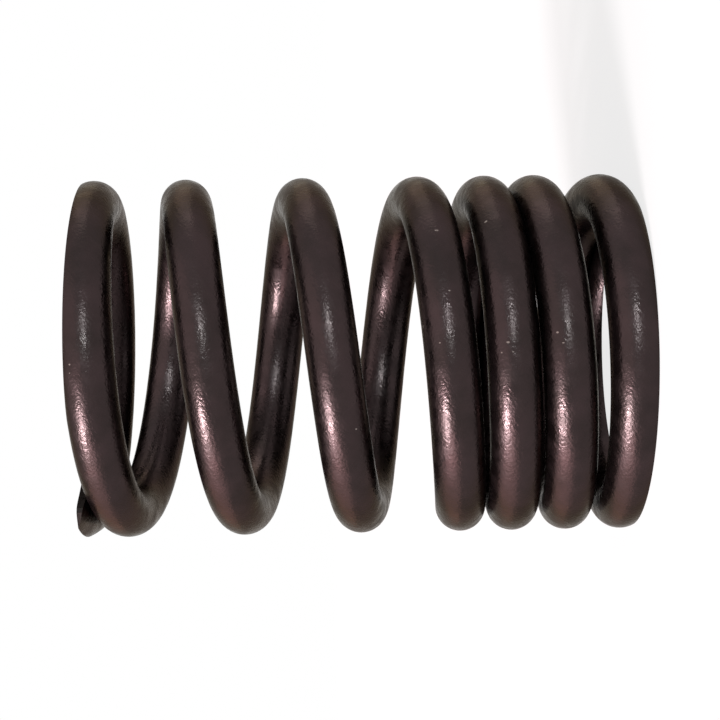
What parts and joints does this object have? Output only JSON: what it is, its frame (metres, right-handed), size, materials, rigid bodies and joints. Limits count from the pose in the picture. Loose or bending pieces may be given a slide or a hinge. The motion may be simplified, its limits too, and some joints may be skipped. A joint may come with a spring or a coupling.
{
  "type": "valve spring",
  "caption": "Engine valve spring: one round steel wire coiled right-handed, wound closer at its foot, with closed ends ground flat.",
  "frame": {"origin": "centre of the lower ground face, on the spring's axis", "axes": "+Z along the spring's axis, from the close-wound end that it stands on to the open end; +X and +Y across it, with the lower end of the wire 35 degrees round from +X towards +Y"},
  "size_m": [0.0316, 0.0316, 0.048],
  "materials": {
    "spring_wire": "satin plum-brown bake over shot-peened spring steel"
  },
  "bodies": {
    "root": {"valve_spring": "spring_wire"}
  },
  "joints": []
}
